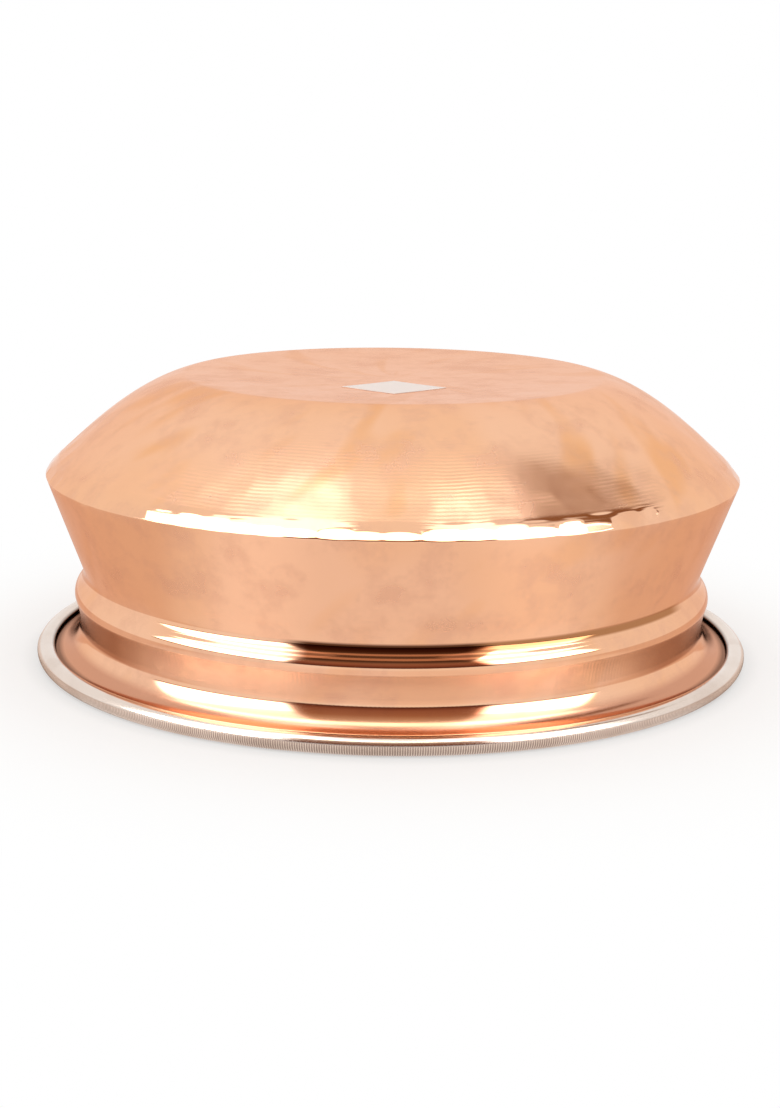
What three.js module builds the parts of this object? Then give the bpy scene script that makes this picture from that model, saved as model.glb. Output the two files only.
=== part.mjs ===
// Low, wide cooking pot of hammered copper with a steel liner, standing mouth down.
//
// Two spun sheets sit one inside the other. The copper jacket is the outside of the pot.
// The steel liner follows it at a small clearance, and its edge is rolled outwards round
// a wire and closes down on the copper, so that the rolled rim holds the three together.
// Lengths are millimetres, +Z is up, and the origin is the middle of the mouth's plane.

import * as THREE from 'three';

// Widths that set the pot's size
const rimDiameter = 200;
const baseDiameter = 116;

// Heights of the pot's zones, in the order in which they rise from the mouth's plane
const lipHeight = 9.2;
const bandHeight = 7.8;
const beadHeight = 7.2;
const wallHeight = 27.5;
const bowlHeight = 26.8;

// Steps in and out between those zones
const lipWidth = 12;
const bandLean = 0.2;
const beadReach = 1.25;
const neckInset = 1.65;
const wallLean = 9.95;

// Curves of the zones: the hollow of the band, the widest point of the bead above its foot,
// and the rounded edges
const bandHollow = 0.35;
const beadFoot = 1.9;
const shoulderRound = 2;
const bevelWidth = 3.5;
const bevelAngle = THREE.MathUtils.degToRad(45.5);
const kneeReach = 12.4;
const kneeDrop = 2.8;
const flareFoot = 2.2;
const flangeWidth = 3.2;

// Standing ring of the base and the shallow dish inside it
const baseRingWidth = 1.2;
const baseDish = 1.5;

// Sheets, the wire in the rim and the clearance between pieces
const copperSheet = 0.6;
const steelSheet = 0.6;
const wireDiameter = 2.4;
const clearance = 0.3;

// Rolled rim: its section, the bend that leads into it and the flat that it rests on
const rollDiameter = 5;
const rollBend = 0.9;
const restWidth = 1.2;
const rollEndAngle = THREE.MathUtils.degToRad(150);

// Share of the straight cone, from the knee, that the crown's curve takes up
const crownShare = 0.7;

// Numbers of steps round the pot and along each curve of its section
const turnSteps = 52;
const dishSteps = 3;
const crownSteps = 4;
const shoulderSteps = 2;
const beadSteps = 3;
const beadFootSteps = 2;
const bandSteps = 2;
const flareSteps = 5;
const bendSteps = 3;
const rollSteps = 12;
const rollTopSteps = 9;
const rollFootSteps = 2;
const wireSides = 8;

// Finishes: hammered and polished copper, bright rolled steel, and plain drawn wire
const copperFinish = { color: 0xd9967a, roughness: 0.28, metalness: 1 };
const steelFinish = { color: 0xcfc3ba, roughness: 0.22, metalness: 1 };
const wireFinish = { color: 0x9a9a98, roughness: 0.4, metalness: 1 };

const fullTurn = 2 * Math.PI;

// Two points of a section that are nearer than this are one point
const samePoint = 0.001;

// A point of the section: its distance from the pot's axis and its height
function point(radius, height) {
  return new THREE.Vector2(radius, height);
}

// Points of an arc about a centre, both ends included
function arcAbout(centre, radius, startAngle, endAngle, steps) {
  const points = [];
  for (let step = 0; step <= steps; step += 1) {
    const angle = THREE.MathUtils.lerp(startAngle, endAngle, step / steps);
    points.push(point(centre.x + radius * Math.cos(angle), centre.y + radius * Math.sin(angle)));
  }
  return points;
}

// Points of an arc from one point to another that stands out of its chord by a bulge.
// Going down the pot, a positive bulge stands away from the axis.
function arcBetween(from, to, bulge, steps) {
  const chord = to.clone().sub(from);
  const out = point(-chord.y, chord.x).normalize();
  const half = chord.length() / 2;
  const radius = (half * half + bulge * bulge) / (2 * bulge);
  const middle = from.clone().add(to).multiplyScalar(0.5);
  const centre = middle.addScaledVector(out, bulge - radius);
  const sweep = 2 * Math.asin(half / radius);
  const start = Math.atan2(out.y, out.x) + sweep / 2 + (bulge < 0 ? fullTurn / 2 : 0);
  return arcAbout(centre, Math.abs(radius), start, start - sweep, steps);
}

// Points of an arc that leaves a widest point straight up or down and ends at another point
function arcFromWidest(widest, end, steps) {
  const drop = end.y - widest.y;
  const inset = widest.x - end.x;
  const radius = (inset * inset + drop * drop) / (2 * inset);
  const centre = point(widest.x - radius, widest.y);
  return arcAbout(centre, radius, 0, Math.asin(drop / radius), steps);
}

// Points of a curve that leaves one point and reaches another along lines to a corner
function curveBetween(from, corner, to, steps) {
  return new THREE.QuadraticBezierCurve(from, corner, to).getPoints(steps);
}

// Joins runs of points, leaving out a point that repeats the one before it
function joinRuns(...runs) {
  const joined = [];
  for (const candidate of runs.flat()) {
    const last = joined[joined.length - 1];
    if (!last || last.distanceTo(candidate) > samePoint) {
      joined.push(candidate);
    }
  }
  return joined;
}

// The same run of points, set back from the pot's outside by a depth through the sheet
function setBack(points, depth) {
  const last = points.length - 1;
  return points.map((here, index) => {
    const reached = Math.max(index, 1);
    const left = Math.min(index, last - 1);
    const arriving = points[reached].clone().sub(points[reached - 1]);
    const leaving = points[left + 1].clone().sub(points[left]);
    const first = point(arriving.y, -arriving.x).normalize();
    const second = point(leaving.y, -leaving.x).normalize();
    const mitre = first.clone().add(second);
    const moved = here.clone().addScaledVector(mitre, depth / (1 + first.dot(second)));
    return index === 0 ? point(0, moved.y) : moved;
  });
}

// Rolled rim: the middle of its round section, which rests on a narrow flat
function rollCentre() {
  const radius = rollDiameter / 2;
  const halfRest = restWidth / 2;
  const height = Math.sqrt(radius * radius - halfRest * halfRest);
  return point(rimDiameter / 2 - radius, height);
}

// Height of the copper's outer face where it runs level under the rolled edge
function flangeHeight() {
  const holdRadius = rollDiameter / 2 - steelSheet;
  return rollCentre().y + holdRadius * Math.sin(rollEndAngle) - clearance;
}

// Rim wire: the middle of its section, seated against the outer side of the roll
function wireCentre() {
  const centre = rollCentre();
  const shift = rollDiameter / 2 - steelSheet - clearance - wireDiameter / 2;
  return point(centre.x + shift, centre.y);
}

// Bowl: dished base, standing ring, crown, straight cone, and a shoulder that is hammered
// to a bevel and rounded down to its sharp lower edge
function bowlPoints(baseHeight, shoulderRadius, shoulderHeight) {
  const ringInside = baseDiameter / 2 - baseRingWidth / 2;
  const ringOutside = ringInside + baseRingWidth;
  const dish = [];
  for (let step = 0; step < dishSteps; step += 1) {
    const reach = step / dishSteps;
    dish.push(point(reach * ringInside, baseHeight - baseDish * (1 - reach * reach)));
  }
  const ring = [point(ringInside, baseHeight), point(ringOutside, baseHeight)];
  const knee = point(ringOutside + kneeReach, baseHeight - kneeDrop);
  const centre = point(shoulderRadius - shoulderRound, shoulderHeight);
  const shoulder = arcAbout(centre, shoulderRound, bevelAngle, 0, shoulderSteps);
  const upTheBevel = point(-Math.sin(bevelAngle), Math.cos(bevelAngle));
  const bevelTop = shoulder[0].clone().addScaledVector(upTheBevel, bevelWidth);
  const crownEnd = knee.clone().lerp(bevelTop, crownShare);
  const crown = curveBetween(ring[1], knee, crownEnd, crownSteps);
  return joinRuns(dish, ring, crown, [bevelTop], shoulder);
}

// Outer face of the whole pot, from the middle of its base down to the end of the flare
function outsidePoints() {
  const creaseRadius = rimDiameter / 2 - lipWidth;
  const bandTopRadius = creaseRadius + bandLean;
  const neckRadius = bandTopRadius - neckInset;
  const shoulderRadius = neckRadius + wallLean;
  const bandTopHeight = lipHeight + bandHeight;
  const neckHeight = bandTopHeight + beadHeight;
  const shoulderHeight = neckHeight + wallHeight;
  const baseHeight = shoulderHeight + bowlHeight;

  const crease = point(creaseRadius, lipHeight);
  const bandTop = point(bandTopRadius, bandTopHeight);
  const neck = point(neckRadius, neckHeight);
  const flareEnd = point(rollCentre().x - flangeWidth, flangeHeight());
  const flareCorner = point(creaseRadius + flareFoot, flareEnd.y);

  const bowl = bowlPoints(baseHeight, shoulderRadius, shoulderHeight);
  const widest = point(bandTopRadius + beadReach, bandTopHeight + beadFoot);
  const beadTop = arcFromWidest(widest, neck, beadSteps).reverse();
  const beadUnderside = arcFromWidest(widest, bandTop, beadFootSteps);
  const band = arcBetween(bandTop, crease, -bandHollow, bandSteps);
  const flare = curveBetween(crease, flareCorner, flareEnd, flareSteps);
  return joinRuns(bowl, beadTop, beadUnderside, band, flare);
}

// Copper jacket: one sheet from the base to a level edge that lies inside the rolled rim
function copperSection() {
  const outside = outsidePoints();
  const edgeRadius = wireCentre().x - wireDiameter / 2 - clearance;
  outside.push(point(edgeRadius, flangeHeight()));
  return joinRuns(outside, setBack(outside, copperSheet).reverse());
}

// Steel liner: one sheet inside the copper, level under its edge, then rolled back over it
function linerSection() {
  const outerDepth = copperSheet + clearance;
  const innerDepth = outerDepth + steelSheet;
  const middleHeight = flangeHeight() - outerDepth - steelSheet / 2;
  const centre = rollCentre();
  const holdRadius = rollDiameter / 2 - steelSheet;
  const bendHeight = middleHeight - rollBend;
  const reach = rollDiameter / 2 - steelSheet / 2 + rollBend;
  const drop = centre.y - bendHeight;
  const bendCentre = point(centre.x - Math.sqrt(reach * reach - drop * drop), bendHeight);
  const meetAngle = Math.asin(drop / reach);
  const rollStart = meetAngle + fullTurn / 2;
  const rollEnd = rollEndAngle + fullTurn;
  const restAngle = Math.asin(restWidth / rollDiameter);
  const footAngle = 3 * fullTurn / 4;
  const level = fullTurn / 4;

  const bendOutside = arcAbout(bendCentre, rollBend + steelSheet / 2, level, meetAngle, bendSteps);
  const bendInside = arcAbout(bendCentre, rollBend - steelSheet / 2, meetAngle, level, bendSteps);
  const rollInside = arcAbout(centre, holdRadius, rollStart, rollEnd, rollSteps);
  const rollRadius = rollDiameter / 2;
  const rollTop = arcAbout(centre, rollRadius, rollEnd, footAngle + restAngle, rollTopSteps);
  const rollFoot = arcAbout(centre, rollRadius, footAngle - restAngle, rollStart, rollFootSteps);

  const faces = outsidePoints();
  faces.push(point(bendCentre.x, flangeHeight()));
  const towardsCopper = setBack(faces, outerDepth);
  const towardsFood = setBack(faces, innerDepth).reverse();
  return joinRuns(towardsCopper, bendOutside, rollInside, rollTop, rollFoot, bendInside, towardsFood);
}

// Rim wire: a round bar bent into a closed ring
function wireSection() {
  const half = fullTurn / wireSides / 2;
  return arcAbout(wireCentre(), wireDiameter / 2, half, half - fullTurn, wireSides);
}

// A section turned about the pot's axis, as a named piece with its own finish.
// The lathe wants the outside of a section to run upwards, and the sections here run down it.
function turnedPiece(name, section, finish) {
  const geometry = new THREE.LatheGeometry(section.toReversed(), turnSteps);
  geometry.rotateX(fullTurn / 4);
  const mesh = new THREE.Mesh(geometry, new THREE.MeshStandardMaterial(finish));
  mesh.name = name;
  return mesh;
}

const pot = new THREE.Group();
pot.add(turnedPiece('copper_jacket', copperSection(), copperFinish));
pot.add(turnedPiece('steel_liner', linerSection(), steelFinish));
pot.add(turnedPiece('rim_wire', wireSection(), wireFinish));

export default pot;
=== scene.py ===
# %% [markdown]
# A hammered copper cooking pot with a steel liner, standing mouth down.
# The pot is two spun sheets. The copper outside is planished with a hammer, and the steel
# inside is rolled round a wire at the mouth and closes down on the copper. This lesson
# loads the measured frame first, then builds the fine sheets, their marks and finishes.

# %% Load the frame
import math

import bpy
import numpy as np
from mathutils import Matrix, Vector


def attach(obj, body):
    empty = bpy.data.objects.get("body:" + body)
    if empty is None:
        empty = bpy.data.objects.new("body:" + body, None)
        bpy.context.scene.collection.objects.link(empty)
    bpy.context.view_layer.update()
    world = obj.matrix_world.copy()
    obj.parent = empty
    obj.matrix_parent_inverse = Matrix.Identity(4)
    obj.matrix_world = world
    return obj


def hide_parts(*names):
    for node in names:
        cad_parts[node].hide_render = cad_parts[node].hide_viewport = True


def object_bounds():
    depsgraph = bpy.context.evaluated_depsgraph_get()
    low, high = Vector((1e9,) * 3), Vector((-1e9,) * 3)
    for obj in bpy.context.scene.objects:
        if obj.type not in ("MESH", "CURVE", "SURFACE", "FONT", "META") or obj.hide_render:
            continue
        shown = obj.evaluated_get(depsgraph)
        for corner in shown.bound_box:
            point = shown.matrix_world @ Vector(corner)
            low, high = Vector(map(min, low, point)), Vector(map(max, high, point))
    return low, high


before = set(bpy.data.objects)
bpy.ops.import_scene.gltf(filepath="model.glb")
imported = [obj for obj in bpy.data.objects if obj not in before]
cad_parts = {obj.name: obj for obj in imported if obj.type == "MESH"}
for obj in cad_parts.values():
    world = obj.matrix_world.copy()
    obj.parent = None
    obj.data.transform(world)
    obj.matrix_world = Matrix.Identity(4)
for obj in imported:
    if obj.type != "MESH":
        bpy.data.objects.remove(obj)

cad_low, cad_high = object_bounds()
print("frame box in mm:", [round(1000 * c, 1) for c in (*cad_low, *cad_high)])

# %% [markdown]
# Lengths below are written in millimetres, as a maker would measure them, and MM turns them
# into Blender's metres. Colours are written as the hex values that a screen shows, and
# shaders work in linear light, so one function turns the one into the other.

# %% Units and colours
MM = 0.001
TINY = MM / 1000
FULL_TURN = 2 * math.pi


def linear(hex_code):
    """The linear colour, with alpha, of an sRGB hex code such as "#f8c29b"."""
    dark_end, dark_slope, offset, gamma = 0.04045, 12.92, 0.055, 2.4
    shown = [int(hex_code[at:at + 2], 16) / 255 for at in (1, 3, 5)]
    parts = [c / dark_slope if c <= dark_end else ((c + offset) / (1 + offset)) ** gamma for c in shown]
    return (*parts, 1.0)


print("copper on screen, in linear light:", [round(c, 3) for c in linear("#f8c29b")])

# %% [markdown]
# Every finish and every rule here is a tree of nodes. Each node could be added in four or
# five lines of its own, but one small function that sets it and links it keeps a tree
# readable. Kinds of node that come up again and again get a short name, some with their
# usual settings.

# %% One function for nodes
MATH = "ShaderNodeMath"
TIMES = (MATH, {"operation": "MULTIPLY"})
TIMES_PLUS = (MATH, {"operation": "MULTIPLY_ADD"})
PLUS = (MATH, {"operation": "ADD"})
MINUS = (MATH, {"operation": "SUBTRACT"})
LARGER = (MATH, {"operation": "MAXIMUM"})
UNSIGNED = (MATH, {"operation": "ABSOLUTE"})
SINE = (MATH, {"operation": "SINE"})
ANGLE_OF = (MATH, {"operation": "ARCTAN2"})
SOFT_STEP = ("ShaderNodeMapRange", {"interpolation_type": "SMOOTHSTEP"})
COLOUR_MIX = ("ShaderNodeMix", {"data_type": "RGBA"})
VECTOR_MATH = "ShaderNodeVectorMath"
NOISE = "ShaderNodeTexNoise"
SEPARATE = "ShaderNodeSeparateXYZ"
COMBINE = "ShaderNodeCombineXYZ"
PLACE = "ShaderNodeTexCoord"
MARK = "ShaderNodeAttribute"


def add_node(tree, kind, sockets=(), **settings):
    """Adds a node to a tree, sets it, and links or fills its input sockets. They are named, or
    come in the node's own order, and a node among them stands for its first output. A kind
    is Blender's name for it, alone or with its usual settings."""
    kind, usual = kind if isinstance(kind, tuple) else (kind, {})
    node = tree.nodes.new(kind)
    for name, value in {**usual, **settings}.items():
        setattr(node, name, value)
    if isinstance(sockets, dict):
        pairs = [(node.inputs[name], value) for name, value in sockets.items()]
    else:
        pairs = list(zip([socket for socket in node.inputs if socket.enabled], sockets))
    for socket, value in pairs:
        if isinstance(value, bpy.types.Node):
            value = next(output for output in value.outputs if output.enabled)
        if isinstance(value, bpy.types.NodeSocket):
            tree.links.new(value, socket)
        else:
            socket.default_value = value
    return node


print("node that mixes colours:", *COLOUR_MIX)

# %% [markdown]
# The camera looks down on the pot at a shallow angle, so that the round base reads as a thin
# ellipse. It could be placed by eye with a Track To constraint, but its place, pitch and
# turn were measured against the pot's own ellipses, so the rotation is written as a matrix
# of its three axes, with the small tilt of the hand-held frame.

# %% Camera
PHOTO_HEIGHT = 1108
FOCAL_LENGTH_PX = 1900
SENSOR_LONG_SIDE = 36
CAMERA_PLACE = Vector((0, -528.0, 149.3)) * MM
CAMERA_PITCH_DOWN = 0.2283
CAMERA_YAW = -0.001
CAMERA_TILT = 0.0123
CAMERA_NEAR = 10 * MM
CAMERA_FAR = 100

ahead = Vector((
    math.sin(CAMERA_YAW) * math.cos(CAMERA_PITCH_DOWN),
    math.cos(CAMERA_YAW) * math.cos(CAMERA_PITCH_DOWN),
    -math.sin(CAMERA_PITCH_DOWN),
))
level_right = Vector((math.cos(CAMERA_YAW), -math.sin(CAMERA_YAW), 0))
level_up = level_right.cross(ahead)
right = math.cos(CAMERA_TILT) * level_right + math.sin(CAMERA_TILT) * level_up
up = math.cos(CAMERA_TILT) * level_up - math.sin(CAMERA_TILT) * level_right
turned_to_pot = Matrix((right, up, -ahead)).transposed().to_4x4()

camera = bpy.data.objects.new("camera", bpy.data.cameras.new("camera"))
camera.data.lens = FOCAL_LENGTH_PX / PHOTO_HEIGHT * SENSOR_LONG_SIDE
camera.data.clip_start = CAMERA_NEAR
camera.data.clip_end = CAMERA_FAR
camera.matrix_world = Matrix.Translation(CAMERA_PLACE) @ turned_to_pot
bpy.context.scene.collection.objects.link(camera)
bpy.context.scene.camera = camera
bpy.context.scene.view_settings.view_transform = "Standard"
print("lens in mm:", round(camera.data.lens, 1))

# %% [markdown]
# Bright metal shows its surroundings more than itself, so the studio is half of the finish.
# The walls and the ceiling are white paper. Behind the camera a dim brown room reaches from
# just above the horizon most of the way up, lighter towards its top, and draws the brown
# bands along the bead and the flare. To its left and right stand two windows, each with a
# dark sill, a bright lower pane and a dimmer upper one. A bow-shaped bank of lamps hangs
# overhead, where only the hammered shoulder is tilted enough to catch it, and a dark screen
# to the right of the bank makes the hammer marks show, as a mark is only seen where it
# bends the edge of something. Lamps and cards would do for all of this, but as areas of the
# world's sky they need no objects.

# %% Directions of the studio's sky
WHITE_PAPER = linear("#ffffff")
BANK_BOW = 23
LOWEST_ABOVE = 0.01

world = bpy.data.worlds.new("studio")
bpy.context.scene.world = world
world.use_nodes = True
tree = world.node_tree
tree.nodes.clear()


def within(tree, value, span, edge):
    """One where a value lies in a span, falling softly to zero at both its ends."""
    low, high = span
    into = add_node(tree, SOFT_STEP, (value, low - edge, low + edge))
    out = add_node(tree, SOFT_STEP, (value, high + edge, high - edge))
    return add_node(tree, TIMES, (into, out))


direction = add_node(tree, PLACE).outputs["Generated"]
axes = add_node(tree, SEPARATE, (direction,)).outputs
to_front = add_node(tree, TIMES, (axes["Y"], -1.0))
azimuth = add_node(tree, ANGLE_OF, (axes["X"], to_front))
elevation = add_node(tree, MATH, (axes["Z"],), operation="ARCSINE")
above = add_node(tree, LARGER, (axes["Z"], LOWEST_ABOVE))
sideways = add_node(tree, MATH, (axes["X"], above), operation="DIVIDE")
forward = add_node(tree, ANGLE_OF, (to_front, above))
forward = add_node(tree, MATH, (forward,), operation="DEGREES")
bow = add_node(tree, TIMES, (sideways, sideways))
bow = add_node(tree, TIMES, (bow, BANK_BOW))
bowed = add_node(tree, PLUS, (forward, bow))
print("nodes that measure directions:", len(tree.nodes))

# %% [markdown]
# The room's tones are a colour ramp over the height above the horizon, from straight down
# to straight up. The dark screen, the sills and the room are laid over white paper one
# after the other, each by its own share.

# %% Tones of the sky
ROOM_HALF_WIDTH = math.radians(36)
ROOM_RISE = (math.radians(8), math.radians(73))
ROOM_TONES = (
    (8, "#4a2a1e"), (11, "#5b3527"), (24, "#8a5a48"),
    (38, "#a67c63"), (47, "#ceb49d"), (55, "#f2eee2"),
)
RAMP_DEGREES = 180
RAMP_MIDDLE = 0.5
LEFT_WINDOW = (math.radians(-91), math.radians(-37))
RIGHT_WINDOW = (math.radians(33), math.radians(77))
SILL = (math.radians(12), math.radians(15))
SILL_TONE = linear("#7d6340")
SCREEN_DEGREES = (-9, 6)
SCREEN_DEGREES_EDGE = 2.5
SCREEN_SPREAD = (0.42, 1.1)
SCREEN_SPREAD_EDGE = 0.05
SCREEN_TONE = linear("#8f6a4e")
SOFT_EDGE = math.radians(2)

degrees_up = add_node(tree, MATH, (elevation,), operation="DEGREES")
ramp_place = add_node(tree, TIMES_PLUS, (degrees_up, 1 / RAMP_DEGREES, RAMP_MIDDLE))
room = add_node(tree, "ShaderNodeValToRGB", (ramp_place,))
elements = room.color_ramp.elements
while len(elements) < len(ROOM_TONES):
    elements.new(RAMP_MIDDLE)
for element, (degrees, tone) in zip(elements, ROOM_TONES):
    element.position = degrees / RAMP_DEGREES + RAMP_MIDDLE
    element.color = linear(tone)

room_share = add_node(tree, TIMES, (
    within(tree, azimuth, (-ROOM_HALF_WIDTH, ROOM_HALF_WIDTH), 2 * SOFT_EDGE),
    within(tree, elevation, ROOM_RISE, SOFT_EDGE / 2),
))
screen_share = add_node(tree, TIMES, (
    within(tree, bowed, SCREEN_DEGREES, SCREEN_DEGREES_EDGE),
    within(tree, sideways, SCREEN_SPREAD, SCREEN_SPREAD_EDGE),
))
windows = add_node(tree, LARGER, (
    within(tree, azimuth, LEFT_WINDOW, SOFT_EDGE),
    within(tree, azimuth, RIGHT_WINDOW, SOFT_EDGE),
))
sill = within(tree, elevation, SILL, SOFT_EDGE / 4)
sill_share = add_node(tree, TIMES, (windows, sill))
sky = add_node(tree, COLOUR_MIX, (screen_share, WHITE_PAPER, SCREEN_TONE))
sky = add_node(tree, COLOUR_MIX, (sill_share, sky, SILL_TONE))
sky = add_node(tree, COLOUR_MIX, (room_share, sky, room))
print("tones of the room:", len(elements))

# %% [markdown]
# The panes and the bank are the same paper, only brighter. Only metal that is looked at
# directly mirrors this sky. Rays that light matt things see an even, plain one, which keeps
# the floor white.

# %% Brightness of the sky
MATT_LIGHT_LEVEL = 1.0
LOWER_PANE = (SILL[1], math.radians(36))
LOWER_PANE_BRIGHTNESS = 5.0
UPPER_PANE = (LOWER_PANE[1], math.radians(79))
UPPER_PANE_BRIGHTNESS = 2.5
BANK_DEGREES = (21.5, 34)
BANK_DEGREES_EDGE = 0.7
BANK_SPREAD = (-1.22, 1.04)
BANK_SPREAD_EDGE = 0.02
BANK_BRIGHTNESS = 4.5
FIRST_BOUNCE = 0.5

lower_pane = within(tree, elevation, LOWER_PANE, SOFT_EDGE / 2)
lower_pane = add_node(tree, TIMES, (windows, lower_pane))
upper_pane = within(tree, elevation, UPPER_PANE, SOFT_EDGE / 2)
upper_pane = add_node(tree, TIMES, (windows, upper_pane))
bank = add_node(tree, TIMES, (
    within(tree, bowed, BANK_DEGREES, BANK_DEGREES_EDGE),
    within(tree, sideways, BANK_SPREAD, BANK_SPREAD_EDGE),
))
lit = 1.0
for area, brightness in (
    (lower_pane, LOWER_PANE_BRIGHTNESS), (upper_pane, UPPER_PANE_BRIGHTNESS), (bank, BANK_BRIGHTNESS),
):
    lit = add_node(tree, TIMES_PLUS, (area, brightness - 1, lit))

paths = add_node(tree, "ShaderNodeLightPath").outputs
first_hand = add_node(tree, MATH, (paths["Diffuse Depth"], FIRST_BOUNCE), operation="LESS_THAN")
in_metal = add_node(tree, TIMES, (paths["Is Glossy Ray"], first_hand))
background = add_node(tree, "ShaderNodeBackground", (
    add_node(tree, COLOUR_MIX, (in_metal, WHITE_PAPER, sky)),
    add_node(tree, "ShaderNodeMix", (in_metal, MATT_LIGHT_LEVEL, lit), data_type="FLOAT"),
))
add_node(tree, "ShaderNodeOutputWorld", (background,))
print("studio sky nodes:", len(tree.nodes))

# %% [markdown]
# One real soft box overhead gives the matt things their light and the pot its faint shadow.
# Mesh cards with an emission material would do too, but an area lamp samples better. The
# metal doesn't see this lamp, because the studio's sky already holds what it mirrors.

# %% Overhead soft box
TOP_BOX_SIZE = 0.9
TOP_BOX_POWER = 2.0
TOP_BOX_PLACE = (0, -0.3, 1.2)

top_light = bpy.data.lights.new("top_soft_box", "AREA")
top_light.size = TOP_BOX_SIZE
top_light.energy = TOP_BOX_POWER
top_box = bpy.data.objects.new("top_soft_box", top_light)
top_box.location = TOP_BOX_PLACE
top_box.visible_camera = False
top_box.visible_glossy = False
bpy.context.scene.collection.objects.link(top_box)
print("overhead soft box in W:", top_light.energy)

# %% [markdown]
# The floor is a large sheet of white paper. The sky alone could be the ground, but a real
# plane keeps the soft shadow in which the rim stands, and gives the wall above it something
# pale to mirror.

# %% Floor sheet
FLOOR_HALF_WIDTH = 12.0

corners = [(-1, -1), (1, -1), (1, 1), (-1, 1)]
corners = [(x * FLOOR_HALF_WIDTH, y * FLOOR_HALF_WIDTH, cad_low.z) for x, y in corners]
floor_mesh = bpy.data.meshes.new("floor")
floor_mesh.from_pydata(corners, [], [(0, 1, 2, 3)])
floor = bpy.data.objects.new("floor", floor_mesh)
bpy.context.scene.collection.objects.link(floor)
print("floor height in mm:", round(cad_low.z / MM, 2))

# %% [markdown]
# Paper: smooth white card. Away from the pot it is drawn as plain white, so that it meets
# the sky without a line, and near the rim a share of it stays matt and takes the shadow.
# What the metal mirrors of it ends more than a hand's width past the rim, where it fades
# into the white sky. In the mirror it carries painted light and shade: a painted warm
# reflection of the copper, more so at the sides of the pot, two painted pools of window
# light in front, and a painted shade close to the rim.

# %% Paper of the floor
FLOOR_PAPER = linear("#f4f3f1")
SHADOW_REACH = 103 * MM
PLAIN_REACH = 180 * MM
PLAIN_AT_RIM = 0.55
RIM_SHADE_REACH = 106 * MM
RIM_SHADE = 0.88
PAPER_END = 250 * MM
PAPER_EDGE = 12 * MM
COPPER_LIT_PAPER = linear("#faf2ee")
SIDE_PAPER = linear("#ecdacf")
SIDE_START = (math.radians(48), math.radians(62))
LIGHT_POOL = (math.radians(22), math.radians(42))
POOL_EDGE = math.radians(8)
POOL_BRIGHTNESS = 1.12


def new_finish(name):
    """A material with an empty tree of nodes."""
    finish = bpy.data.materials.new(name)
    finish.use_nodes = True
    finish.node_tree.nodes.clear()
    return finish


def way_round(tree, place):
    """The angle of a place about the pot's axis, from the front and positive to the right."""
    axes = add_node(tree, SEPARATE, (place,)).outputs
    to_front = add_node(tree, TIMES, (axes["Y"], -1.0))
    return add_node(tree, ANGLE_OF, (axes["X"], to_front))


paper = new_finish("white background paper")
tree = paper.node_tree
place = add_node(tree, PLACE).outputs["Object"]
from_pot = add_node(tree, VECTOR_MATH, (place,), operation="LENGTH")
to_side = add_node(tree, UNSIGNED, (way_round(tree, place),))
paths = add_node(tree, "ShaderNodeLightPath").outputs
mirrored_ray = paths["Is Glossy Ray"]

# Painted pools of window light on the paper, seen only in the metal.
pool = within(tree, to_side, LIGHT_POOL, POOL_EDGE)
pool = add_node(tree, TIMES, (pool, mirrored_ray))
pool = add_node(tree, TIMES_PLUS, (pool, POOL_BRIGHTNESS - 1, 1.0))
# Painted shade on the paper next to the rim, seen by the camera and by the metal.
shade = add_node(tree, SOFT_STEP, (from_pot, cad_high.x, RIM_SHADE_REACH, RIM_SHADE, 1.0))
shade = add_node(tree, TIMES, (shade, pool))
seen = add_node(tree, LARGER, (paths["Is Camera Ray"], mirrored_ray))
# Painted warm reflection of the copper on the mirrored paper, darker at the sides.
beside = add_node(tree, SOFT_STEP, (to_side, *SIDE_START))
mirrored = add_node(tree, COLOUR_MIX, (beside, COPPER_LIT_PAPER, SIDE_PAPER))
matt = add_node(tree, "ShaderNodeBsdfDiffuse", (FLOOR_PAPER,))
plain = add_node(tree, "ShaderNodeEmission", (
    add_node(tree, COLOUR_MIX, (mirrored_ray, WHITE_PAPER, mirrored)),
    add_node(tree, TIMES, (seen, shade)),
))
plain_share = add_node(tree, SOFT_STEP, (from_pot, SHADOW_REACH, PLAIN_REACH, PLAIN_AT_RIM, 1.0))
plain_share = add_node(tree, LARGER, (plain_share, mirrored_ray))
surface = add_node(tree, "ShaderNodeMixShader", (plain_share, matt, plain))
past_paper = add_node(tree, SOFT_STEP, (from_pot, PAPER_END - PAPER_EDGE, PAPER_END + PAPER_EDGE))
past_paper = add_node(tree, TIMES, (past_paper, mirrored_ray))
clear = add_node(tree, "ShaderNodeBsdfTransparent")
surface = add_node(tree, "ShaderNodeMixShader", (past_paper, surface, clear))
add_node(tree, "ShaderNodeOutputMaterial", (surface,))
floor_mesh.materials.append(paper)
print("floor paper nodes:", len(tree.nodes))

# %% [markdown]
# The section of the copper is a line of spun zones: dished base, standing ring, crown and
# straight cone, hammered shoulder, a wall that leans in, a bead, a hollow neck band and a
# flared lip. It could be drawn point by point, but a turner thinks in lengths, tapers and
# arcs, so each zone is worked out from a few sizes. They are the sizes of the frame, with
# more points along each curve and a bead that is a little rounder: a hollow turn leads into
# it from the wall, it is widest just over its foot, and the band below it leans a little.

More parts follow.
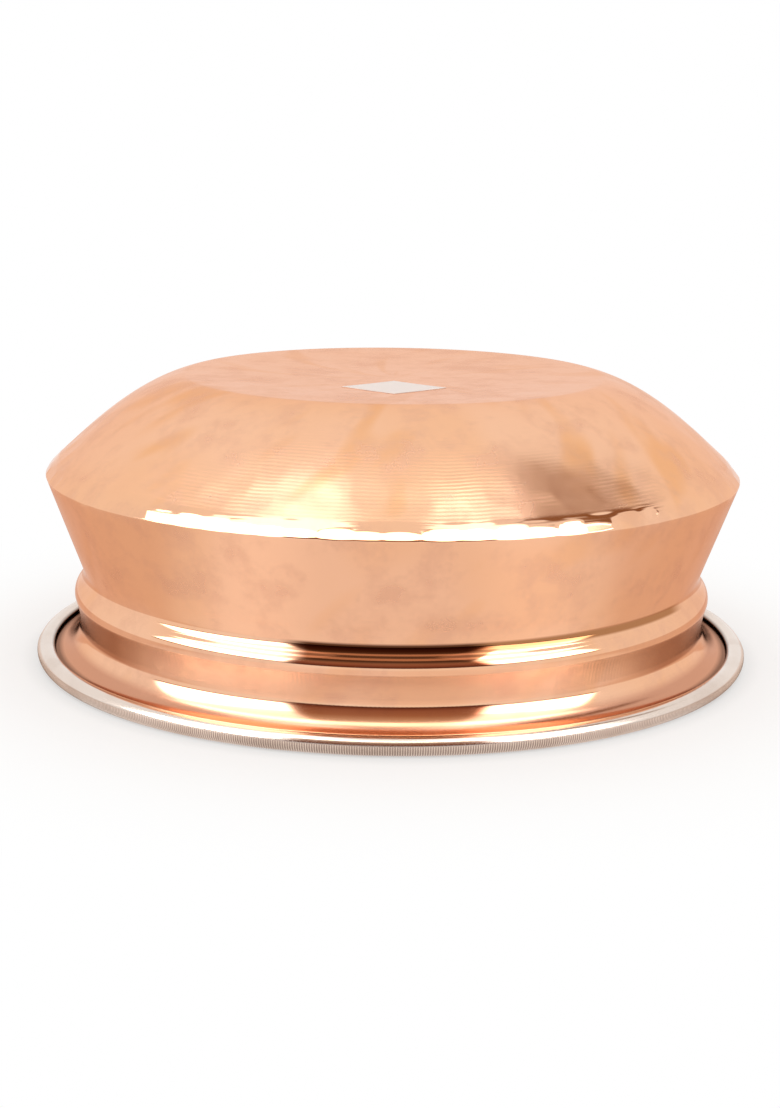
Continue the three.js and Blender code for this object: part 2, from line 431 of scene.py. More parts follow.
# %% Sizes of the section
RIM_RADIUS = 100 * MM
BASE_RADIUS = 58 * MM
LIP_HEIGHT = 9.2 * MM
BAND_HEIGHT = 7.8 * MM
BOWL_HEIGHT = 26.8 * MM
LIP_WIDTH = 12 * MM
BAND_LEAN = 1.25 * MM
BEAD_REACH = 0.2 * MM
BEAD_FOOT = 1.1 * MM
BEAD_ROUND = 4.5 * MM
NECK_ROUND = 4.0 * MM
BEAD_TURN = math.radians(48)
SHOULDER_REACH = 8.5 * MM
SHOULDER_LIFT = 42.5 * MM
BAND_HOLLOW = 0.35 * MM
SHOULDER_ROUND = 2 * MM
BEVEL_WIDTH = 3.5 * MM
BEVEL_ANGLE = math.radians(45.5)
KNEE_REACH = 12.4 * MM
KNEE_DROP = 2.8 * MM
CROWN_SHARE = 0.7
FLARE_FOOT = 2.2 * MM
FLANGE_WIDTH = 3.2 * MM
BASE_RING_WIDTH = 1.2 * MM
BASE_DISH = 1.5 * MM
COPPER_SHEET = 0.6 * MM
STEEL_SHEET = 0.6 * MM
CLEARANCE = 0.3 * MM
ROLL_RADIUS = 2.5 * MM
ROLL_BEND = 0.9 * MM
REST_HALF_WIDTH = 0.6 * MM
ROLL_END_ANGLE = math.radians(150)
EDGE_BEHIND_ROLL = 1.1 * MM

print("rim and base ring across in mm:", round(2 * RIM_RADIUS / MM, 1), round(2 * BASE_RADIUS / MM, 1))

# %% [markdown]
# Points of a section are pairs of a distance from the axis and a height. Small functions
# give straight runs, arcs, hollows and curves between tangents, and one more sets a whole
# line back through the thickness of the sheet along its mitres, as a sheet keeps its
# thickness round a bend.

# %% Lines of a section


def straight(start, end, steps):
    """Points from start to end, both included."""
    return [start + (end - start) * (step / steps) for step in range(steps + 1)]


def arc(centre, radius, start_angle, end_angle, steps):
    """Points of an arc about a centre, both ends included."""
    angles = np.linspace(start_angle, end_angle, steps + 1)
    return [centre + radius * np.array((math.cos(a), math.sin(a))) for a in angles]


def from_widest(widest, end, steps):
    """Points of an arc that leaves a widest point straight up or down and ends at a point."""
    inset, drop = widest - end
    drop = -drop
    radius = (inset ** 2 + drop ** 2) / (2 * inset)
    return arc(widest - np.array((radius, 0)), radius, 0, math.asin(drop / radius), steps)


def bulged(start, end, bulge, steps):
    """Points of an arc whose middle stands out of its chord by a bulge, away from the axis."""
    chord = end - start
    half = np.linalg.norm(chord) / 2
    outward = np.array((-chord[1], chord[0])) / (2 * half)
    radius = (half ** 2 + bulge ** 2) / (2 * bulge)
    centre = (start + end) / 2 + outward * (bulge - radius)
    sweep = 2 * math.asin(half / radius)
    first = math.atan2(outward[1], outward[0]) + sweep / 2 + (math.pi if bulge < 0 else 0)
    return arc(centre, abs(radius), first, first - sweep, steps)


def curve(start, corner, end, steps):
    """Points of a curve that leaves start and reaches end along the lines to a corner."""
    shares = [step / steps for step in range(steps + 1)]
    return [(1 - s) ** 2 * start + 2 * s * (1 - s) * corner + s ** 2 * end for s in shares]


def set_back(line, depth):
    """A line of points set back through the sheet by a depth, along its mitres."""
    line = np.array(line)
    runs = np.diff(line, axis=0)
    sides = np.stack((runs[:, 1], -runs[:, 0]), axis=1) / np.linalg.norm(runs, axis=1)[:, None]
    before = np.vstack((sides[:1], sides))
    after = np.vstack((sides, sides[-1:]))
    mitre = (before + after) / (1 + (before * after).sum(axis=1))[:, None]
    moved = line + depth * mitre
    moved[0, 0] = 0
    return list(moved)


print("a quarter arc of radius 1 ends at:", arc(np.zeros(2), 1, 0, math.pi / 2, 4)[-1].round(3))

# %% [markdown]
# First come the places that the zones share: the centre of the roll, the crease over the
# lip, the widest line of the bead, the shoulder's edge and the ends of its bevel. They
# could be read off the frame, but worked out from the sizes they stay right when a size
# changes.

# %% Corners and centres of the section
roll_centre = np.array((RIM_RADIUS - ROLL_RADIUS, math.sqrt(ROLL_RADIUS ** 2 - REST_HALF_WIDTH ** 2)))
hold_radius = ROLL_RADIUS - STEEL_SHEET
flange_height = roll_centre[1] + hold_radius * math.sin(ROLL_END_ANGLE) - CLEARANCE

crease = np.array((RIM_RADIUS - LIP_WIDTH, LIP_HEIGHT))
band_top = crease + np.array((BAND_LEAN, BAND_HEIGHT))
widest = band_top + np.array((BEAD_REACH, BEAD_FOOT))
shoulder_edge = crease + np.array((SHOULDER_REACH, SHOULDER_LIFT))
bead_centre = widest - np.array((BEAD_ROUND, 0))
turn_way = np.array((math.cos(BEAD_TURN), math.sin(BEAD_TURN)))
neck_centre = bead_centre + (BEAD_ROUND + NECK_ROUND) * turn_way
to_shoulder = shoulder_edge - neck_centre
touch = math.asin(NECK_ROUND / np.linalg.norm(to_shoulder))
wall_way = math.atan2(to_shoulder[1], to_shoulder[0]) + touch
neck_top_angle = wall_way + math.pi / 2
base_height = shoulder_edge[1] + BOWL_HEIGHT
ring_inside = BASE_RADIUS - BASE_RING_WIDTH / 2
ring_outside = BASE_RADIUS + BASE_RING_WIDTH / 2
shoulder_centre = shoulder_edge - np.array((SHOULDER_ROUND, 0))
bevel_end = arc(shoulder_centre, SHOULDER_ROUND, BEVEL_ANGLE, 0, 1)[0]
bevel_top = bevel_end + BEVEL_WIDTH * np.array((-math.sin(BEVEL_ANGLE), math.cos(BEVEL_ANGLE)))
knee = np.array((ring_outside + KNEE_REACH, base_height - KNEE_DROP))
crown_end = knee + CROWN_SHARE * (bevel_top - knee)
flare_end = np.array((roll_centre[0] - FLANGE_WIDTH, flange_height))
flare_corner = np.array((crease[0] + FLARE_FOOT, flange_height))

ring_start = np.array((ring_inside, base_height))
ring_end = np.array((ring_outside, base_height))
copper_edge = np.array((roll_centre[0] - EDGE_BEHIND_ROLL, flange_height))
print("widest line of the bead in mm:", [round(float(c / MM), 2) for c in widest])

# %% [markdown]
# Now the copper's outside is put together zone by zone, from the middle of the base down to
# the flared lip. Each zone keeps its name, because the finish changes from zone to zone: the
# hammer works on the cone and the shoulder, and the bead and the flare are burnished bright.

# %% Outside of the copper, zone by zone
FINE = {"dish": 8, "ring": 3, "crown": 18, "cone": 8, "bevel": 9, "round": 8, "wall": 8,
        "neck": 8, "bead": 7, "bead foot": 4, "band": 5, "flare": 11}
PLAIN = {"dish": 3, "ring": 1, "crown": 4, "cone": 1, "bevel": 1, "round": 2, "wall": 1,
         "neck": 3, "bead": 2, "bead foot": 2, "band": 2, "flare": 5}


def outside_zones(steps):
    """The zones of the copper's outside, each a run of points with its numbers of steps."""
    shares = [step / steps["dish"] for step in range(steps["dish"])]
    dish = [np.array((s * ring_inside, base_height - BASE_DISH * (1 - s * s))) for s in shares]
    rounded = arc(shoulder_centre, SHOULDER_ROUND, BEVEL_ANGLE, 0, steps["round"])
    neck_run = arc(neck_centre, NECK_ROUND, neck_top_angle, math.pi + BEAD_TURN, steps["neck"])
    bead_top = arc(bead_centre, BEAD_ROUND, BEAD_TURN, 0, steps["bead"])
    return {
        "base": [*dish, *straight(ring_start, ring_end, steps["ring"])],
        "cone": [*curve(ring_end, knee, crown_end, steps["crown"]),
                 *straight(crown_end, bevel_top, steps["cone"])],
        "shoulder": [*straight(bevel_top, bevel_end, steps["bevel"]), *rounded],
        "wall": straight(shoulder_edge, neck_run[0], steps["wall"]),
        "bead": [*neck_run, *bead_top, *from_widest(widest, band_top, steps["bead foot"])],
        "band": bulged(band_top, crease, -BAND_HOLLOW, steps["band"]),
        "flare": curve(crease, flare_corner, flare_end, steps["flare"]),
    }


def join(runs):
    """One line of points from several, without a point that repeats the one before."""
    line = []
    for here in runs:
        if not line or np.linalg.norm(line[-1] - here) > TINY:
            line.append(here)
    return line


zones = outside_zones(FINE)
outside_line = join([here for run in zones.values() for here in run])
plain_line = join([here for run in outside_zones(PLAIN).values() for here in run])
print("points down the outside:", len(outside_line))
print("pot height in mm:", round(base_height / MM, 2), "frame:", round(cad_high.z / MM, 2))

# %% [markdown]
# A turned mesh could come from the Screw modifier, but here the rings need different
# numbers of steps: fine where the hammer marks show and coarse on the hidden side of the
# sheet. So the rings are joined by hand, with a fan of triangles where a fine ring meets a
# coarse one.

# %% Faces between two rings


def ring_faces(upper, lower):
    """Faces between two rings, as corners (ring, column). A ring is (its number, its steps)."""
    (top, many), (below, more) = upper, lower
    if many == more:
        return [((top, c), (below, c), (below, c + 1), (top, c + 1)) for c in range(many)]
    faces = []
    if many < more:
        share = more // many
        for coarse in range(many):
            split = coarse * share + share // 2
            for fine in range(coarse * share, (coarse + 1) * share):
                faces.append(((top, coarse + (fine >= split)), (below, fine), (below, fine + 1)))
            faces.append(((top, coarse), (below, split), (top, coarse + 1)))
        return faces
    share = many // more
    for coarse in range(more):
        split = coarse * share + share // 2
        for fine in range(coarse * share, (coarse + 1) * share):
            faces.append(((top, fine), (below, coarse + (fine >= split)), (top, fine + 1)))
        faces.append(((top, split), (below, coarse), (below, coarse + 1)))
    return faces


print("faces between rings of 4 and 8 steps:", len(ring_faces((0, 4), (1, 8))))

# %% [markdown]
# Each point of the section becomes a ring, and a point on the axis a single corner. The UV
# map holds the turn from 0 to 1 and the length along the section in metres, so that
# patterns can run round the pot or down it at their real size. The seam of the map lies at
# the back of the pot.

# %% Turned shells
BACK_OF_POT = math.pi / 2


def turned_shell(name, line, steps, marks=None):
    """A shell turned from a line of points, with a number of steps for each point's ring.
    marks gives named values for each point, which the shell keeps as attributes."""
    starts, places, owners = [], [], []
    for number, (here, count) in enumerate(zip(line, steps)):
        starts.append(len(places))
        on_axis = here[0] < TINY
        count = 1 if on_axis else count
        for column in range(count):
            angle = BACK_OF_POT + FULL_TURN * column / count
            places.append((here[0] * math.cos(angle), here[0] * math.sin(angle), here[1]))
            owners.append(number)
    lengths = np.concatenate(([0], np.cumsum(np.linalg.norm(np.diff(np.array(line), axis=0), axis=1))))
    faces, uvs = [], []
    for top, below in zip(range(len(line) - 1), range(1, len(line))):
        for corners in ring_faces((top, steps[top]), (below, steps[below])):
            face, spots = [], []
            for ring, column in corners:
                single = line[ring][0] < TINY
                vertex = starts[ring] + (0 if single else column % steps[ring])
                if vertex in face:
                    continue
                face.append(vertex)
                spots.append((column / steps[ring], lengths[ring]))
            faces.append(face)
            uvs.extend(spots)
    mesh = bpy.data.meshes.new(name)
    mesh.from_pydata(places, [], faces)
    layer = mesh.uv_layers.new(name="turn_and_length")
    layer.data.foreach_set("uv", np.array(uvs, np.float32).ravel())
    for label, values in (marks or {}).items():
        attribute = mesh.attributes.new(label, "FLOAT", "POINT")
        attribute.data.foreach_set("value", np.array(values, np.float32)[owners])
    mesh.shade_smooth()
    piece = bpy.data.objects.new(name, mesh)
    bpy.context.scene.collection.objects.link(piece)
    return piece


def triangle_count(piece):
    """The number of triangles that a piece's faces make."""
    return sum(len(face.vertices) - 2 for face in piece.data.polygons)


print("the seam lies at", round(math.degrees(BACK_OF_POT)), "degrees from the X axis")

# %% [markdown]
# The copper jacket is one closed shell: the outside line, round the edge inside the rolled
# rim, and back along the hidden side, which needs only a few rings. Its marks say for each
# ring how far the blows of the hammer dent it, whether the shoulder's hammer flattens it,
# how bright it is burnished and how red the copper has stayed, and how much painted shade
# darkens the foot of the flare, where it runs in under the roll. The painted shade of the
# groove and the band doesn't run all the way round, so it belongs to the finish.

# %% Marks of the jacket's rings
DENT_GROWTH = 1.4
ZONE_MARKS = (("shoulder", 1, 0), ("wall", 0, 0.04), ("bead", 1, 0.1), ("band", 0.1, 0.3), ("flare", 1, 0))
FLARE_DULLING = (89.1 * MM, 90.3 * MM)
FLARE_BRIGHT = (0.9, 0.15)
FLARE_RED = (0.1, 1)
# Painted shade on the flare as it runs in under the roll.
FLARE_SHADE_PAINT = (92.9 * MM, 94.3 * MM)
FLARE_SHADE_PAINTED = (0, 0.9)

outside = [*outside_line, copper_edge]
hidden = set_back([*plain_line, copper_edge], COPPER_SHEET)[::-1]
zone_rings = {}
for zone, run in zones.items():
    zone_rings[zone] = [
        n for n, here in enumerate(outside_line) if any(np.linalg.norm(here - there) < TINY for there in run)
    ]

dented, planished, burnished, seam_shade_painted, reddened = np.zeros((5, len(outside) + len(hidden)))
cone_rings = zone_rings["cone"]
for number in cone_rings:
    down_slope = (outside[number][0] - ring_outside) / (bevel_top[0] - ring_outside)
    dented[number] = min(1, max(0, DENT_GROWTH * down_slope))
for number in [*cone_rings[len(cone_rings) // 2:], *zone_rings["shoulder"]]:
    planished[number] = 1
for zone, bright, red in ZONE_MARKS:
    for number in zone_rings[zone]:
        burnished[number] = bright
        reddened[number] = red
for number in zone_rings["flare"]:
    burnished[number] = np.interp(outside[number][0], FLARE_DULLING, FLARE_BRIGHT)
    reddened[number] = np.interp(outside[number][0], FLARE_DULLING, FLARE_RED)
    seam_shade_painted[number] = np.interp(outside[number][0], FLARE_SHADE_PAINT, FLARE_SHADE_PAINTED)
seam_shade_painted[len(outside) - 1] = FLARE_SHADE_PAINTED[1]
print("rings outside and hidden:", len(outside), len(hidden))

# %% [markdown]
# Only the rings from the standing ring down have to be fine, for the hammer marks and for a
# clean mirror. With the base and the hidden side coarser, the jacket stays under 200,000
# triangles.

# %% Copper jacket
FINE_STEPS = 1024
BASE_STEPS = 256
HIDDEN_STEPS = 128

first_fine = zone_rings["base"][-FINE["ring"] - 1]
steps = [FINE_STEPS if n >= first_fine else BASE_STEPS for n in range(len(outside))]
steps += [HIDDEN_STEPS] * len(hidden)
jacket = turned_shell("hammered_copper_jacket", [*outside, *hidden], steps, marks={
    "dented": dented, "planished": planished, "burnished": burnished, "seam_shade_painted": seam_shade_painted,
    "reddened": reddened,
})
print("jacket triangles:", triangle_count(jacket))

# %% [markdown]
# Planishing is a rule, not a drawing: each blow of a slightly domed hammer leaves a shallow
# round dish, the blows keep about their own width apart, and along the shoulder a flatter
# hammer leaves a chain of narrow facets. Geometry Nodes can say exactly that, where sculpting
# would have to be done again for each size. Everything random hangs on one seed.

# %% Making and running a tree
LEVEL_ONLY = (1.0, 1.0, 0.0)


def new_tree(name, inputs):
    """A geometry tree that takes and gives a mesh and has the named inputs."""
    made = bpy.data.node_groups.new(name, "GeometryNodeTree")
    made.interface.new_socket("Geometry", in_out="INPUT", socket_type="NodeSocketGeometry")
    for label, kind in inputs.items():
        made.interface.new_socket(label, in_out="INPUT", socket_type="NodeSocket" + kind)
    made.interface.new_socket("Geometry", in_out="OUTPUT", socket_type="NodeSocketGeometry")
    return made


def run_tree(piece, tree, values):
    """Runs a tree on a piece with the given inputs and keeps the result as a plain mesh."""
    modifier = piece.modifiers.new(tree.name, "NODES")
    modifier.node_group = tree
    for item in tree.interface.items_tree:
        if item.in_out == "INPUT" and item.name in values:
            modifier[item.identifier] = values[item.name]
    graph = bpy.context.evaluated_depsgraph_get()
    result = piece.evaluated_get(graph)
    made = bpy.data.meshes.new_from_object(result, preserve_all_data_layers=True, depsgraph=graph)
    piece.modifiers.remove(modifier)
    piece.data = made
    return piece


def level_way(tree, place):
    """The level direction, one long, from the pot's axis to a place."""
    level = add_node(tree, VECTOR_MATH, (place, LEVEL_ONLY), operation="MULTIPLY")
    return add_node(tree, VECTOR_MATH, (level,), operation="NORMALIZE")


hammer = new_tree("hammer blows", {
    "Seed": "Int", "Blow spacing": "Float", "Blow radius": "Float", "Blow depth": "Float",
    "Facets": "Int", "Facet jitter": "Float", "Facet tilt": "Float", "Facet tilt spread": "Float",
    "Facet cut": "Float", "Round radius": "Float", "Round distance": "Float", "Round height": "Float",
    "Finish": "Material",
})
print("inputs of the hammer tree:", len(hammer.interface.items_tree) - 2)

# %% [markdown]
# Points are scattered over the dented zones for the blows. Each point of the shell finds its
# nearest blow, and how far it is from it sets how deep it is pressed in: deepest in the
# middle, and not at all past the blow's own width. No two blows are as wide or as hard.

# %% Round dishes of the blows
RANDOM = ("FunctionNodeRandomValue", {"data_type": "FLOAT"})
BLOW_WIDTHS = (0.72, 1.12)
BLOW_FORCES = (0.35, 1.3)
BLOWS_PER_SQUARE_METRE = 60000.0

tree = hammer
given = add_node(tree, "NodeGroupInput").outputs
here = add_node(tree, "GeometryNodeInputPosition")
facing = add_node(tree, "GeometryNodeInputNormal")
dents = add_node(tree, "GeometryNodeInputNamedAttribute", ("dented",), data_type="FLOAT")
blows = add_node(tree, "GeometryNodeDistributePointsOnFaces", {
    "Mesh": given["Geometry"], "Distance Min": given["Blow spacing"], "Density Factor": dents,
    "Density Max": BLOWS_PER_SQUARE_METRE, "Seed": given["Seed"],
}, distribute_method="POISSON")
nearest = add_node(tree, "GeometryNodeSampleNearest", (blows, here), domain="POINT")
blow_place = add_node(tree, "GeometryNodeSampleIndex", (blows, here, nearest),
                      data_type="FLOAT_VECTOR", domain="POINT")
away = add_node(tree, VECTOR_MATH, (here, blow_place), operation="DISTANCE")

width = add_node(tree, RANDOM, (*BLOW_WIDTHS, nearest, given["Seed"]))
width = add_node(tree, TIMES, (width, given["Blow radius"]))
share = add_node(tree, MATH, (away, width), operation="DIVIDE")
square = add_node(tree, MATH, (share, 2.0), operation="POWER")
bowl = add_node(tree, MATH, (1.0, square), operation="SUBTRACT", use_clamp=True)
force = add_node(tree, RANDOM, (*BLOW_FORCES, nearest, given["Seed"]))
force = add_node(tree, TIMES, (force, given["Blow depth"]))
force = add_node(tree, TIMES, (force, dents))
press = add_node(tree, TIMES, (bowl, force))
inwards = add_node(tree, TIMES, (press, -1.0))
push = add_node(tree, VECTOR_MATH, (facing, inwards), operation="SCALE")
dished = add_node(tree, "GeometryNodeSetPosition", {"Geometry": given["Geometry"], "Offset": push})
print("hammer tree nodes so far:", len(tree.nodes))

# %% [markdown]
# The facets come from a ring of blows, each slipped a little along the ring. Each blow has a
# plane, square to a way that points outwards and up by the facet's tilt, and the plane cuts
# the round of the shoulder a little below its crest. What stands over the plane of the
# nearest blow is pressed back onto it.

# %% Facets along the shoulder
FACET_CUTS = (0.55, 1.2)

flats = add_node(tree, "GeometryNodeInputNamedAttribute", ("planished",), data_type="FLOAT")
circle = add_node(tree, "GeometryNodeMeshCircle", (given["Facets"], 1.0))
number = add_node(tree, "GeometryNodeInputIndex")
less = add_node(tree, TIMES, (given["Facet jitter"], -1.0))
slip = add_node(tree, RANDOM, (less, given["Facet jitter"], number, given["Seed"]))
slipped = add_node(tree, "ShaderNodeVectorRotate", {"Vector": here, "Angle": slip}, rotation_type="Z_AXIS")
strikes = add_node(tree, "GeometryNodeSetPosition", {"Geometry": circle, "Position": slipped})
struck = add_node(tree, "GeometryNodeSampleNearest", (strikes, level_way(tree, here)), domain="POINT")
strike_place = add_node(tree, "GeometryNodeSampleIndex", (strikes, here, struck),
                        data_type="FLOAT_VECTOR", domain="POINT")

tilt = add_node(tree, RANDOM, (-1.0, 1.0, struck, given["Seed"]))
tilt = add_node(tree, TIMES_PLUS, (tilt, given["Facet tilt spread"], given["Facet tilt"]))
level_part = add_node(tree, MATH, (tilt,), operation="COSINE")
up_part = add_node(tree, SINE, (tilt,))
outwards = add_node(tree, VECTOR_MATH, (strike_place, level_part), operation="SCALE")
upwards = add_node(tree, COMBINE, {"Z": up_part})
plane_way = add_node(tree, VECTOR_MATH, (outwards, upwards), operation="ADD")

reach = add_node(tree, TIMES_PLUS, (level_part, given["Round distance"], given["Round radius"]))
reach = add_node(tree, TIMES_PLUS, (up_part, given["Round height"], reach))
cut = add_node(tree, RANDOM, (*FACET_CUTS, struck, given["Seed"]))
cut = add_node(tree, TIMES, (cut, given["Facet cut"]))
plane_at = add_node(tree, MINUS, (reach, cut))
along = add_node(tree, VECTOR_MATH, (here, plane_way), operation="DOT_PRODUCT")
over = add_node(tree, MINUS, (along, plane_at))
over = add_node(tree, LARGER, (over, 0.0))
over = add_node(tree, TIMES, (over, flats))
back = add_node(tree, TIMES, (over, -1.0))
flatten = add_node(tree, VECTOR_MATH, (plane_way, back), operation="SCALE")
planed = add_node(tree, "GeometryNodeSetPosition", {"Geometry": dished, "Offset": flatten})
whole = add_node(tree, "GeometryNodeRealizeInstances", (planed,))
finished = add_node(tree, "GeometryNodeSetMaterial", {"Geometry": whole, "Material": given["Finish"]})
add_node(tree, "NodeGroupOutput", (finished,))
print("hammer tree nodes:", len(tree.nodes))

# %% [markdown]
# Copper: pure copper sheet, spun on a lathe, hammered and buffed. The eye gets a warm pink
# metal that goes paler where it is seen at a low angle, fine spun rings on the base and the
# cone, a soft satin on the wall, and a mirror on the parts that were burnished. The rings,
# the buffing lines and the chatter of the neck band are real heights in metres that feed one
# Bump node. Pictures would do for them, but noise that is stretched round the pot keeps its
# real size at any distance. Real buffing lines are finer than the picture can show, so they
# are drawn 0.25 mm wide.

# %% Copper: rings, buffing lines and chatter
WANDER_SIZE = 9 * MM
WORN_SIZE = 45 * MM
RING_PITCH = 1.1 * MM
RING_DEPTH = 0.006 * MM
RING_WANDER = 7.0
RING_WEAR = (0.4, 0.6, 0.25, 1.0)
BUFF_LINE_WIDTH = 0.25 * MM
BUFF_LINE_LENGTH = 14 * MM
BUFF_DEPTH = 0.0012 * MM
BUFF_DETAIL = 3.0
CHATTER_LINES = 500
CHATTER_DEPTH = 0.004 * MM
BAND_EDGE = 0.4 * MM


def stretched_noise(tree, way, length, size_round, size_down, detail):
    """Noise whose spots have one size round the pot and another one down its section."""
    round_part = add_node(tree, VECTOR_MATH, (way, RIM_RADIUS / size_round), operation="SCALE")
    down_part = add_node(tree, TIMES, (length, 1 / size_down))
    down_part = add_node(tree, COMBINE, {"Z": down_part})
    spot = add_node(tree, VECTOR_MATH, (round_part, down_part), operation="ADD")
    return add_node(tree, NOISE, {"Vector": spot, "Scale": 1.0, "Detail": detail})


copper = new_finish("spun and hammered copper")
tree = copper.node_tree
place = add_node(tree, PLACE).outputs["Object"]
height = add_node(tree, SEPARATE, (place,)).outputs["Z"]
way = level_way(tree, place)
map_place = add_node(tree, "ShaderNodeUVMap", uv_map="turn_and_length")
map_place = add_node(tree, SEPARATE, (map_place,)).outputs
turn, length = map_place["X"], map_place["Y"]

wander = add_node(tree, NOISE, {"Vector": place, "Scale": 1 / WANDER_SIZE, "Detail": 2.0})
worn = add_node(tree, NOISE, {"Vector": place, "Scale": 1 / WORN_SIZE, "Detail": 1.0})
rings = add_node(tree, TIMES, (length, FULL_TURN / RING_PITCH))
rings = add_node(tree, TIMES_PLUS, (wander, RING_WANDER, rings))
rings = add_node(tree, SINE, (rings,))
rings = add_node(tree, TIMES, (rings, RING_DEPTH))
over_bevel = add_node(tree, SOFT_STEP, (height, bevel_end[1], bevel_top[1]))
rings = add_node(tree, TIMES, (rings, over_bevel))
rubbed = add_node(tree, SOFT_STEP, (worn, *RING_WEAR))
rings = add_node(tree, TIMES, (rings, rubbed))

buffing = stretched_noise(tree, way, length, BUFF_LINE_LENGTH, BUFF_LINE_WIDTH, BUFF_DETAIL)
relief = add_node(tree, TIMES_PLUS, (buffing, BUFF_DEPTH, rings))
on_band = within(tree, height, (float(crease[1]), float(band_top[1])), BAND_EDGE)
chatter = add_node(tree, TIMES, (turn, FULL_TURN * CHATTER_LINES))
chatter = add_node(tree, SINE, (chatter,))
chatter = add_node(tree, TIMES, (chatter, CHATTER_DEPTH))
relief = add_node(tree, TIMES_PLUS, (chatter, on_band, relief))
bump = add_node(tree, "ShaderNodeBump", {"Height": relief, "Strength": 1.0, "Distance": 1.0})
print("nodes for the copper's relief:", len(tree.nodes))

# %% [markdown]
# A metal's colour is all in its reflection, so the base colour carries the copper, and faint
# heat and handling tints shift it: warm streaks that wind down the cone, dull clouds, and
# redder copper where the burnisher didn't work. Painted shade darkens the base colour in the
# groove above the bead from the front round to the right, on the hollow band away from the
# front, and at the foot of the flare.

# %% Copper: tints and painted shade
COPPER = linear("#f7c3a0")
COPPER_WARM = linear("#efad72")
COPPER_DULL = linear("#e6b192")
COPPER_RED = linear("#d0977a")
# Painted shade colours for the flare's foot, the groove above the bead and the band.
SEAM_SHADE_PAINT = linear("#5a2a17")
GROOVE_SHADE_PAINT = linear("#5c3420")
GROOVE_SHADE_PAINT_RIGHT = linear("#b07850")
BAND_SHADE_PAINT = linear("#b87c5c")
STREAK_WIDTH = 17 * MM
STREAK_LENGTH = 26 * MM
STREAK_SWIRL = 6.0
STREAK_DETAIL = 1.2
STREAK_SHARE = (0.5, 0.72, 0.0, 0.65)
WALL_STREAKS = 0.6
PATCH_SHARE = (0.46, 0.66, 0.0, 0.25)
STAIN_SIZE = 12 * MM
STAIN_ROUGHNESS = 0.62
DULL_SHARE = (0.44, 0.68, 0.0, 0.65)
GROOVE_SIDE = (math.radians(-16), math.radians(60))
GROOVE_SIDE_EDGE = math.radians(3)
GROOVE_TOP = (float(neck_centre[1]) + 0.2 * MM, float(neck_centre[1]) - 0.6 * MM)
GROOVE_FOOT = (20.2 * MM, 22.4 * MM)
GROOVE_TURN = (math.radians(12), math.radians(18))
GROOVE_FADE = 0.35 * MM
BAND_SHADE_START = (math.radians(40), math.radians(56))

swirl = add_node(tree, TIMES, (length, STREAK_SWIRL))
swirl = add_node(tree, "ShaderNodeVectorRotate", {"Vector": way, "Angle": swirl}, rotation_type="Z_AXIS")
streaks = stretched_noise(tree, swirl, length, STREAK_WIDTH, STREAK_LENGTH, STREAK_DETAIL)
warm_share = add_node(tree, SOFT_STEP, (streaks, *STREAK_SHARE))
up_wall = add_node(tree, SOFT_STEP, (height, shoulder_edge[1], bevel_top[1], WALL_STREAKS, 1.0))
warm_share = add_node(tree, TIMES, (warm_share, up_wall))
patch_share = add_node(tree, SOFT_STEP, (worn, *PATCH_SHARE))
warm_share = add_node(tree, LARGER, (warm_share, patch_share))
stains = add_node(tree, NOISE, {
    "Vector": place, "Scale": 1 / STAIN_SIZE, "Detail": 6.0, "Roughness": STAIN_ROUGHNESS,
})
dull_share = add_node(tree, SOFT_STEP, (stains, *DULL_SHARE))
red_share = add_node(tree, MARK, attribute_name="reddened").outputs["Fac"]
seam_shade_share = add_node(tree, MARK, attribute_name="seam_shade_painted").outputs["Fac"]

# Painted shade in the groove above the bead, from the front round to the right, paler on the right.
turned = way_round(tree, place)
groove_foot = add_node(tree, SOFT_STEP, (turned, *GROOVE_TURN, *GROOVE_FOOT))
over_foot = add_node(tree, MINUS, (height, groove_foot))
groove_shade_share = add_node(tree, SOFT_STEP, (over_foot, -GROOVE_FADE, GROOVE_FADE))
under_top = add_node(tree, SOFT_STEP, (height, *GROOVE_TOP))
groove_shade_share = add_node(tree, TIMES, (groove_shade_share, under_top))
on_side = within(tree, turned, GROOVE_SIDE, GROOVE_SIDE_EDGE)
groove_shade_share = add_node(tree, TIMES, (groove_shade_share, on_side))
right_share = add_node(tree, SOFT_STEP, (turned, *GROOVE_TURN))
groove_shade_tone = add_node(tree, COLOUR_MIX, (right_share, GROOVE_SHADE_PAINT, GROOVE_SHADE_PAINT_RIGHT))
# Painted shade on the hollow band away from the front.
turned_away = add_node(tree, UNSIGNED, (turned,))
band_side = add_node(tree, SOFT_STEP, (turned_away, *BAND_SHADE_START))
band_shade_share = add_node(tree, TIMES, (on_band, band_side))

# Copper tints, then three layers of painted shade: the flare's foot, the groove and the band.
tinted = COPPER
for layer_share, tone in (
    (warm_share, COPPER_WARM), (dull_share, COPPER_DULL), (red_share, COPPER_RED),
    (seam_shade_share, SEAM_SHADE_PAINT), (groove_shade_share, groove_shade_tone), (band_shade_share, BAND_SHADE_PAINT),
):
    tinted = add_node(tree, COLOUR_MIX, (layer_share, tinted, tone))
print("copper finish nodes so far:", len(tree.nodes))

# %% [markdown]
# Burnished zones are nearly mirrors and the others are satin. Both are a little uneven,
# because stained copper is never quite as smooth. At a low angle copper goes pale, which is
# the specular tint.

# %% Copper: polish
COPPER_EDGE = linear("#f8e0d2")
MIRROR_ROUGHNESS = 0.07
SATIN_ROUGHNESS = 0.24
UNEVEN_POLISH = (0.3, 0.8, 0.85, 1.25)

